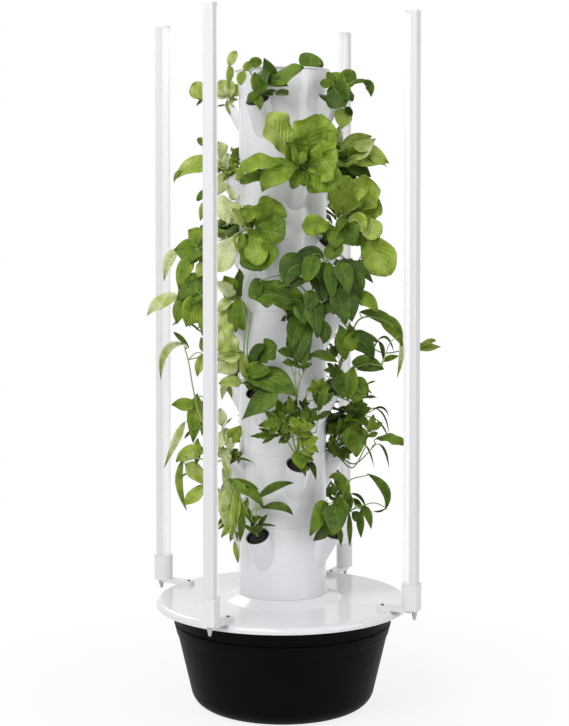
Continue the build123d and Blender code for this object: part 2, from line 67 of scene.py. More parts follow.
# Column, pockets and bars, as the CAD part has them
COLUMN_FOOT = 0.266
SECTION_PITCH = 0.168
SECTIONS = range(1, 8)
COLUMN_RADIUS = 0.1035
MOUTH_DISTANCE = 0.1234
MOUTH_DROP = 0.0162
POCKET_TILT = math.radians(32.0)
BAR_AZIMUTHS = (-90.0, 0.0, 90.0, 180.0)
STRIP_FACE_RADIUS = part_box("led_strip_2")[0][0]


def photo_point(x, y, toward):
    """The point seen at a pixel of the photograph, that far in front of the column's axis."""
    along = AHEAD * math.cos(CAMERA_PITCH) - UP * math.sin(CAMERA_PITCH)
    above = AHEAD * math.sin(CAMERA_PITCH) + UP * math.cos(CAMERA_PITCH)
    right = x - (IMAGE_WIDTH / 2 - SHIFT_X * IMAGE_HEIGHT)
    down = y - (IMAGE_HEIGHT / 2 + SHIFT_Y * IMAGE_HEIGHT)
    ray = along * FOCAL_PIXELS + RIGHT * right - above * down
    return CAMERA_PLACE + ray * ((CAMERA_DISTANCE - toward) / ray.dot(AHEAD))


def pixel_length(toward):
    """How long one pixel is at that distance in front of the column's axis."""
    return (CAMERA_DISTANCE - toward) / FOCAL_PIXELS


camera = bpy.data.objects.new("camera", bpy.data.cameras.new("camera"))
bpy.context.scene.collection.objects.link(camera)
camera.location = CAMERA_PLACE
camera.rotation_euler = (math.pi / 2 - CAMERA_PITCH, 0, VIEW_AZIMUTH)
camera.data.sensor_width = SENSOR
camera.data.lens = FOCAL_PIXELS * SENSOR / IMAGE_HEIGHT
camera.data.shift_x, camera.data.shift_y = SHIFT_X, SHIFT_Y
camera.data.clip_start, camera.data.clip_end = NEAR_LIMIT, FAR_LIMIT
bpy.context.scene.camera = camera
bpy.context.scene.view_settings.view_transform = "Standard"


# Node trees
class Graph:
    """A node tree, made one call at a time."""

    def __init__(self, tree):
        self.tree = tree

    def feed(self, socket, value):
        """Links another node's output to a socket, or sets the socket's own value."""
        if isinstance(value, bpy.types.NodeSocket):
            self.tree.links.new(value, socket)
        else:
            socket.default_value = value

    def add(self, kind, inputs=(), **settings):
        node = self.tree.nodes.new(kind)
        for key, value in settings.items():
            setattr(node, key, value)
        for key, value in dict(inputs).items():
            self.feed(node.inputs[key], value)
        return node

    def place(self, scale=(1, 1, 1)):
        """Object coordinates in metres, stretched by scale."""
        coordinates = self.add("ShaderNodeTexCoord")
        inputs = {"Vector": coordinates.outputs["Object"], "Scale": scale}
        return self.add("ShaderNodeMapping", inputs).outputs[0]

    def noise(self, where, scale, detail=3.0, roughness=0.5):
        inputs = {"Vector": where, "Scale": scale, "Detail": detail, "Roughness": roughness}
        return self.add("ShaderNodeTexNoise", inputs).outputs["Fac"]

    def ramp(self, value, *stops):
        """A colour ramp with stops of (position, colour)."""
        node = self.add("ShaderNodeValToRGB", {"Fac": value})
        elements = node.color_ramp.elements
        while len(elements) < len(stops):
            elements.new(0.5)
        for element, (position, colour) in zip(elements, stops):
            element.position, element.color = position, (*colour, 1)
        return node.outputs[0]

    def spread(self, value, low, high, start=0.0, end=1.0):
        """Low to high while value goes from start to end."""
        inputs = {"Value": value, "From Min": start, "From Max": end, "To Min": low, "To Max": high}
        return self.add("ShaderNodeMapRange", inputs).outputs[0]

    def math(self, operation, *values):
        return self.add("ShaderNodeMath", enumerate(values), operation=operation).outputs[0]

    def mix(self, share, *colours):
        """A colour between two, each an output or three numbers."""
        node = self.add("ShaderNodeMix", {0: share}, data_type="RGBA")
        for socket, colour in zip(node.inputs[6:8], colours):
            self.feed(socket, colour if isinstance(colour, bpy.types.NodeSocket) else (*colour, 1))
        return node.outputs[2]

    def seen_ray(self):
        """1 for what the camera sees, straight, mirrored or through something clear, and 0 for light."""
        path = self.add("ShaderNodeLightPath").outputs
        mirrored = self.math("MAXIMUM", path["Is Glossy Ray"], path["Is Transmission Ray"])
        return self.math("MAXIMUM", path["Is Camera Ray"], mirrored)


class Surface(Graph):
    """A material and its main shader."""

    def __init__(self, name):
        self.material = bpy.data.materials.new(name)
        self.material.use_nodes = True
        super().__init__(self.material.node_tree)
        self.shader = self.tree.nodes["Principled BSDF"]

    def set(self, **values):
        for key, value in values.items():
            self.feed(self.shader.inputs[key.replace("_", " ")], value)

    def bump(self, *layers):
        """Layers of (height, depth in metres), one on another."""
        normal = None
        for height, depth in layers:
            inputs = {"Height": height, "Distance": depth, "Strength": 1.0}
            if normal is not None:
                inputs["Normal"] = normal
            normal = self.add("ShaderNodeBump", inputs).outputs[0]
        self.feed(self.shader.inputs["Normal"], normal)


# Materials
def moulded(name, light, dark, roughness, grain_scale=900.0, grain_depth=0.00003, wave_depth=0.0, scuff=None,
            **shader):
    """Moulded plastic: soft mottling, a fine grain, mould waviness and, where asked, rubbed places."""
    n = Surface(name)
    where = n.place()
    cloud = n.noise(where, 9.0, 4.0)
    colour = n.ramp(cloud, (0.35, dark), (0.65, light))
    rough = n.spread(n.noise(where, 60.0), roughness - 0.06, roughness + 0.08)
    if scuff:
        scratch = n.noise(n.place((1, 1, 0.12)), 140.0, 6.0, 0.7)
        worn = n.spread(scratch, 0.0, 1.0, 0.60, 0.74)
        colour = n.mix(n.math("MULTIPLY", worn, 0.35), colour, scuff)
        rough = n.math("ADD", rough, n.math("MULTIPLY", worn, 0.12))
    n.set(Base_Color=colour, Roughness=rough, **shader)
    layers = [(n.noise(where, grain_scale, 2.0), grain_depth)]
    if wave_depth:
        layers.insert(0, (n.noise(where, 11.0, 2.0), wave_depth))
    n.bump(*layers)
    return n.material


def brushed(name, light, dark, roughness, stretch, metallic=1.0):
    """Metal with fine lines along one direction."""
    n = Surface(name)
    lines = n.noise(n.place(stretch), 220.0, 4.0, 0.6)
    n.set(Base_Color=n.ramp(lines, (0.3, dark), (0.7, light)), Metallic=metallic,
          Roughness=n.spread(lines, roughness - 0.06, roughness + 0.08))
    n.bump((lines, 0.00002))
    return n.material


LEAF_TONES = ((0.0, (0.022, 0.050, 0.004)), (0.25, (0.062, 0.128, 0.008)), (0.5, (0.160, 0.262, 0.014)),
              (0.72, (0.310, 0.430, 0.050)), (0.88, (0.480, 0.580, 0.150)), (1.0, (0.680, 0.740, 0.400)))
VEIN_COLOUR = (0.55, 0.66, 0.30)
SIDE_VEINS = 8.0
VEIN_SLOPE = 7.0


def leaf_material():
    """Living leaf: its tone is an attribute, the leaf's own green with painted shade, and its veins follow
    the leaf's own coordinates.
    """
    n = Surface("leaf_green")
    tone = n.add("ShaderNodeAttribute", attribute_name="tone").outputs["Fac"]
    leaf_map = n.add("ShaderNodeUVMap", uv_map="leaf").outputs[0]
    leaf_place = n.add("ShaderNodeSeparateXYZ", {"Vector": leaf_map})
    across = n.math("ABSOLUTE", n.math("SUBTRACT", leaf_place.outputs[0], 0.5))
    where = n.place()
    mottle = n.noise(where, 55.0, 4.0, 0.6)
    patch = n.noise(where, 24.0, 2.0)
    tone = n.math("ADD", tone, n.spread(mottle, -0.12, 0.12, 0.25, 0.75))
    tone = n.math("ADD", tone, n.spread(patch, -0.10, 0.10, 0.3, 0.7))
    colour = n.ramp(tone, *LEAF_TONES)
    # Side veins leave the midrib forwards, so their lines slope with the way across the leaf
    midrib = n.spread(across, 1.0, 0.0, 0.012, 0.045)
    slope = n.math("SUBTRACT", n.math("MULTIPLY", leaf_place.outputs[1], SIDE_VEINS),
                   n.math("MULTIPLY", across, VEIN_SLOPE))
    saw = n.math("ABSOLUTE", n.math("SUBTRACT", n.math("FRACT", slope), 0.5))
    side = n.math("MULTIPLY", n.spread(saw, 1.0, 0.0, 0.0, 0.12), n.spread(across, 1.0, 0.2, 0.1, 0.5))
    vein = n.math("MAXIMUM", midrib, n.math("MULTIPLY", side, 0.45))
    lighter = n.mix(0.45, colour, VEIN_COLOUR)
    n.set(Base_Color=n.mix(n.math("MULTIPLY", vein, 0.26), colour, lighter),
          Roughness=n.spread(mottle, 0.34, 0.50), Specular_IOR_Level=0.24)
    puff = n.math("MULTIPLY", saw, n.spread(across, 1.0, 0.3, 0.0, 0.5))
    n.bump((patch, 0.0070), (puff, 0.0026), (n.noise(where, 95.0, 2.0), 0.0024),
           (n.noise(where, 260.0, 3.0), 0.0003), (n.math("SUBTRACT", 1.0, vein), 0.0005))
    return n.material


def stem_material():
    """Juicy stem: pale green with lengthwise lines."""
    n = Surface("stem_green")
    tone = n.add("ShaderNodeAttribute", attribute_name="tone").outputs["Fac"]
    lines = n.noise(n.place((1, 1, 0.15)), 420.0, 3.0)
    tone = n.math("ADD", tone, n.spread(lines, -0.12, 0.12))
    colour = n.ramp(tone, (0.0, (0.055, 0.110, 0.020)), (0.5, (0.200, 0.320, 0.055)),
                    (1.0, (0.560, 0.620, 0.330)))
    n.set(Base_Color=colour, Roughness=0.42)
    n.bump((lines, 0.0002))
    return n.material


def plug_material():
    """Damp growing medium: dark crumbs with lighter fibres."""
    n = Surface("plug_dark")
    crumbs = n.add("ShaderNodeTexVoronoi", {"Vector": n.place(), "Scale": 260.0}).outputs["Distance"]
    fibres = n.noise(n.place((1, 1, 0.4)), 700.0, 4.0, 0.7)
    colour = n.ramp(crumbs, (0.1, (0.030, 0.021, 0.013)), (0.5, (0.012, 0.009, 0.006)),
                    (0.9, (0.004, 0.003, 0.002)))
    straw = n.spread(fibres, 0.0, 0.5, 0.62, 0.75)
    n.set(Base_Color=n.mix(straw, colour, (0.110, 0.080, 0.045)), Roughness=0.9)
    n.bump((crumbs, 0.0012), (fibres, 0.0004))
    return n.material


def led_material():
    """A chip of pale yellow phosphor."""
    n = Surface("led_chip")
    grain = n.noise(n.place(), 1500.0, 2.0)
    n.set(Base_Color=n.ramp(grain, (0.3, (0.42, 0.36, 0.18)), (0.7, (0.52, 0.45, 0.24))), Roughness=0.35)
    n.bump((grain, 0.00003))
    return n.material


def diffuser_material():
    """Frosted clear plastic, drawn lengthwise and lit from inside."""
    n = Surface("diffuser_white")
    lines = n.noise(n.place((1, 1, 0.02)), 420.0, 3.0)
    n.set(Base_Color=n.ramp(lines, (0.3, (0.93, 0.93, 0.94)), (0.7, (0.97, 0.97, 0.97))),
          Roughness=n.spread(lines, 0.16, 0.26), Alpha=0.42, Coat_Weight=0.4, Coat_Roughness=0.08,
          Emission_Color=(1, 1, 1, 1), Emission_Strength=0.20)
    n.bump((lines, 0.00004))
    return n.material


# Each slot's light and dark colour, then its roughness and what else differs
MOULDED = {
    "tub_black": dict(
        light=(0.0038, 0.0038, 0.0042), dark=(0.0024, 0.0024, 0.0027), roughness=0.46, grain_scale=1100.0,
        grain_depth=0.00007, wave_depth=0.0004, scuff=(0.009, 0.009, 0.010), Specular_IOR_Level=0.04),
    "white_gloss": dict(
        light=(0.82, 0.82, 0.85), dark=(0.79, 0.79, 0.82), roughness=0.16, grain_scale=500.0,
        grain_depth=0.000015, wave_depth=0.0003, Coat_Weight=0.35, Coat_Roughness=0.06),
    "white_satin": dict(
        light=(0.84, 0.84, 0.85), dark=(0.81, 0.81, 0.82), roughness=0.3, grain_scale=700.0,
        grain_depth=0.00002, wave_depth=0.0001),
    "tube_grey": dict(light=(0.36, 0.37, 0.39), dark=(0.33, 0.34, 0.36), roughness=0.45),
    "gland_grey": dict(
        light=(0.56, 0.56, 0.58), dark=(0.50, 0.50, 0.52), roughness=0.6, grain_scale=800.0,
        grain_depth=0.00004),
    "pump_black": dict(
        light=(0.032, 0.032, 0.037), dark=(0.022, 0.022, 0.026), roughness=0.45, grain_scale=800.0,
        grain_depth=0.00005),
    "soft_rubber": dict(
        light=(0.11, 0.11, 0.11), dark=(0.085, 0.085, 0.085), roughness=0.7, grain_depth=0.00005),
    "impeller_plastic": dict(light=(0.72, 0.72, 0.69), dark=(0.67, 0.67, 0.64), roughness=0.4),
    "pot_black": dict(
        light=(0.022, 0.022, 0.022), dark=(0.014, 0.014, 0.014), roughness=0.5, grain_depth=0.00005),
    "strip_white": dict(light=(0.84, 0.84, 0.80), dark=(0.80, 0.80, 0.76), roughness=0.35, grain_scale=400.0),
}
BRUSHED = {
    "dark_steel": dict(light=(0.16, 0.16, 0.17), dark=(0.08, 0.08, 0.085), roughness=0.36, stretch=(1, 1, 6)),
    "shaft_steel": dict(light=(0.66, 0.66, 0.67), dark=(0.5, 0.5, 0.51), roughness=0.2, stretch=(1, 8, 1)),
    "bar_aluminium": dict(
        light=(0.80, 0.80, 0.815), dark=(0.76, 0.76, 0.775), roughness=0.3, stretch=(1, 1, 0.01),
        metallic=0.0),
}
materials = {name: moulded(name, **look) for name, look in MOULDED.items()}
materials.update({name: brushed(name, **look) for name, look in BRUSHED.items()})
materials.update({"leaf_green": leaf_material(), "diffuser_white": diffuser_material()})
STEM = stem_material()
PLUG = plug_material()
CHIP = led_material()
for part in frame["record"]["subparts"]:
    mesh = nodes[part["node"]].data
    mesh.materials.clear()
    mesh.materials.append(materials[part["material_slot"]])


# Small mesh tools
class Shape:
    """Vertices and faces that become one object, with a leaf coordinate and a tone at each vertex."""

    def __init__(self):
        self.vertices, self.faces, self.kinds, self.uvs, self.tones = [], [], [], [], []

    def grid(self, rows, uv_rows=None, tone=0.0, kind=0, closed=False, capped=False, open_at=None):
        """Quads between rows of points, with open ones where asked. Kind is the material's number."""
        start, width = len(self.vertices), len(rows[0])
        for row, uv_row in zip(rows, uv_rows or [[(0.0, 0.0)] * width] * len(rows)):
            self.vertices += row
            self.uvs += uv_row
            self.tones += [tone] * width
        faces = []
        for i in range(len(rows) - 1):
            for j in range(width if closed else width - 1):
                if open_at and open_at(i, j):
                    continue
                k = (j + 1) % width
                a, b = start + i * width, start + (i + 1) * width
                faces.append((a + j, a + k, b + k, b + j))
        if capped:
            last = start + (len(rows) - 1) * width
            faces.append(tuple(range(start + width - 1, start - 1, -1)))
            faces.append(tuple(range(last, last + width)))
        self.faces += faces
        self.kinds += [kind] * len(faces)

    def object(self, name, materials, thickness=0.0, offset=0.0, smooth=True):
        mesh = bpy.data.meshes.new(name)
        mesh.from_pydata([tuple(v) for v in self.vertices], [], self.faces)
        mesh.polygons.foreach_set("material_index", self.kinds)
        mesh.polygons.foreach_set("use_smooth", [smooth] * len(self.faces))
        layer = mesh.uv_layers.new(name="leaf")
        layer.data.foreach_set("uv", [c for loop in mesh.loops for c in self.uvs[loop.vertex_index]])
        mesh.attributes.new("tone", "FLOAT", "POINT").data.foreach_set("value", self.tones)
        for material in materials:
            mesh.materials.append(material)
        mesh.update()
        made = bpy.data.objects.new(name, mesh)
        bpy.context.scene.collection.objects.link(made)
        if thickness:
            solid = made.modifiers.new("thickness", "SOLIDIFY")
            solid.thickness, solid.offset = thickness, offset
        return made


# Leaves
LEAF_THICKNESS = 0.0004
# Leaves keep this far from the column's axis, up to a little over its cap
LEAF_CLEARANCE = 0.006
CAP_REACH = 0.075
LEAST_FROM_AXIS = COLUMN_RADIUS + LEAF_CLEARANCE
COLUMN_TOP = COLUMN_FOOT + SECTION_PITCH * len(SECTIONS) + CAP_REACH
# A leaf wider than this gets more points across and along
WIDE_LEAF = 0.022
TINY = 1e-6
# Outlines: how far along the leaf, and the share of its width there
PROFILES = {
    "cos": ((0, .09), (.1, .15), (.22, .30), (.36, .56), (.5, .82), (.63, .97), (.76, 1), (.87, .88),
            (.95, .6), (1, .2)),
    "ovate": ((0, .06), (.06, .32), (.15, .66), (.28, .92), (.42, 1), (.57, .93), (.71, .74), (.83, .48),
              (.93, .22), (1, .03)),
    "lance": ((0, .10), (.08, .35), (.2, .7), (.35, .95), (.5, 1), (.65, .86), (.8, .58), (.92, .26),
              (1, .03)),
    "round": ((0, .10), (.07, .46), (.2, .82), (.38, .98), (.55, 1), (.72, .9), (.87, .63), (.96, .34),
              (1, .08)),
}
TOOTH_ROWS = 13
# For each outline: how deep the edge ripples as a share of the width, how often, and how far it cups
EDGES = {
    "cos": (0.12, 2.6, 0.10), "ovate": (0.05, 1.4, -0.22), "round": (0.02, 1.1, -0.12),
    "lance": (0.02, 1.1, -0.08), "toothed": (0.02, 1.1, -0.08),
}
# Leaflets of a lobed leaf: where each leaves the rib, its reach, its lean to the side and its width share
LEAFLETS = ((0.34, 0.66, 0.0, 0.40), (0.42, 0.34, 0.40, 0.30), (0.42, 0.34, -0.40, 0.30),
            (0.20, 0.20, 0.42, 0.24), (0.20, 0.20, -0.42, 0.24))
LEAST_LEAFLET_WIDTH = 0.004
RIB_RADII = (0.0007, 0.0005)


def clear_of_column(point):
    """A point held off the column, the way it already lies from the axis."""
    flat = Vector((point.x, point.y, 0))
    if flat.length >= LEAST_FROM_AXIS or point.z > COLUMN_TOP or flat.length < TINY:
        return point
    return flat * (LEAST_FROM_AXIS / flat.length) + UP * point.z


def bend(base, via, tip, t):
    """Point and direction on the curve from base to tip that leans to via."""
    point = base * (1 - t) ** 2 + via * (2 * t * (1 - t)) + tip * t * t
    ahead = (via - base) * (2 * (1 - t)) + (tip - via) * (2 * t)
    return point, ahead.normalized()


def refined(profile):
    """The outline with a point more between each two, on a smooth curve."""
    ends = (profile[0], *profile, profile[-1])
    points = []
    for before, here, after, beyond in zip(ends, ends[1:], ends[2:], ends[3:]):
        points.append(here)
        points.append(tuple((9 * (b + c) - a - d) / 16 for a, b, c, d in zip(before, here, after, beyond)))
    return (*points, profile[-1])


def tooth_width(i):
    """Width share of a toothed leaflet at its row."""
    t = i / (TOOTH_ROWS - 1)
    swell = 0.12 + 0.88 * math.sin(math.pi * min(1.0, t * 0.86 + 0.07))
    return swell * (0.72 + 0.28 * (i % 2)) * (1 - 0.75 * t ** 6)


def blade(shape, base, via, tip, width, facing, kind, tone, rng):
    """One leaf from base to tip: folded on its midrib, cupped and rippled by kind."""
    wide = width > WIDE_LEAF
    if kind == "toothed":
        profile = tuple((i / (TOOTH_ROWS - 1), tooth_width(i)) for i in range(TOOTH_ROWS))
    else:
        profile = refined(PROFILES[kind]) if wide else PROFILES[kind]
    half_columns = 4 if wide else 2
    ripple_share, waves, cup = EDGES[kind]
    fold = rng.uniform(0.18, 0.34)
    phase = rng.uniform(0, 2 * math.pi)
    rows, uv_rows = [], []
    for t, share in profile:
        centre, ahead = bend(base, via, tip, t)
        side = ahead.cross(facing)
        side = side.normalized() if side.length > TINY else ahead.orthogonal().normalized()
        face = side.cross(ahead).normalized()
        row, uv_row = [], []
        for j in range(-half_columns, half_columns + 1):
            s = j / half_columns
            out = s * share * width / 2
            lift = fold * abs(out) + cup * out * out / (width / 2)
            wave = math.sin(2 * math.pi * waves * t + phase + (1.9 if s > 0 else 0))
            lift += ripple_share * width * s * s * wave
            row.append(clear_of_column(centre + side * out * (1 - fold * fold / 2) + face * lift))
            uv_row.append((0.5 + s / 2, t))
        rows.append(row)
        uv_rows.append(uv_row)
    shape.grid(rows, uv_rows, min(1.0, max(0.0, tone + rng.uniform(-0.05, 0.05))))


def leaf(shape, base, via, tip, width, facing, kind, tone, rng):
    """A leaf of any kind. A lobed one is five toothed leaflets on a common rib."""
    if kind != "lobed":
        blade(shape, base, via, tip, width, facing, kind, tone, rng)
        return
    length = (tip - base).length
    ahead = (tip - base).normalized()
    side = ahead.cross(facing).normalized()
    for t, reach, lean, share in LEAFLETS:
        root, _ = bend(base, via, tip, t)
        sway = facing * rng.uniform(-0.1, 0.1) * width
        end = root + ahead * reach * length * 0.95 + side * lean * width * 1.15 + sway
        middle = (root + end) / 2 + facing * width * 0.05
        leaflet_width = max(share * width * 1.25, LEAST_LEAFLET_WIDTH)
        blade(shape, root, middle, end, leaflet_width, facing, "toothed", tone, rng)
    rib = [base, via * 0.5 + (base + tip) * 0.25, root + ahead * 0.1 * length]
    tube(shape, rib, *RIB_RADII, tone + 0.2)


def tube(shape, points, start_radius, end_radius, tone, sides=6):
    """A tapering stem along points."""
    rows, uv_rows = [], []
    last = len(points) - 1
    for i, point in enumerate(points):
        ahead = (points[min(i + 1, last)] - points[max(i - 1, 0)]).normalized()
        side = ahead.orthogonal().normalized() if i == 0 else (side - ahead * side.dot(ahead)).normalized()
        other = ahead.cross(side)
        radius = start_radius + (end_radius - start_radius) * i / last
        ring = [2 * math.pi * j / sides for j in range(sides)]
        rows.append([point + (side * math.cos(a) + other * math.sin(a)) * radius for a in ring])
        uv_rows.append([(j / sides, i / last) for j in range(sides)])
    shape.grid(rows, uv_rows, min(1.0, max(0.0, tone)), kind=1, closed=True, capped=True)


def curve_through(points, steps=5):
    """Smooth points through the given ones."""
    ends = [points[0] * 2 - points[1], *points, points[-1] * 2 - points[-2]]
    smooth = []
    for a, b, c, d in zip(ends, ends[1:], ends[2:], ends[3:]):
        for i in range(steps):
            t = i / steps
            smooth.append(0.5 * (b * 2 + (c - a) * t + (a * 2 - b * 5 + c * 4 - d) * t ** 2
                                 + (b * 3 - a - c * 3 + d) * t ** 3))
    return [clear_of_column(p) for p in [*smooth, points[-1]]]
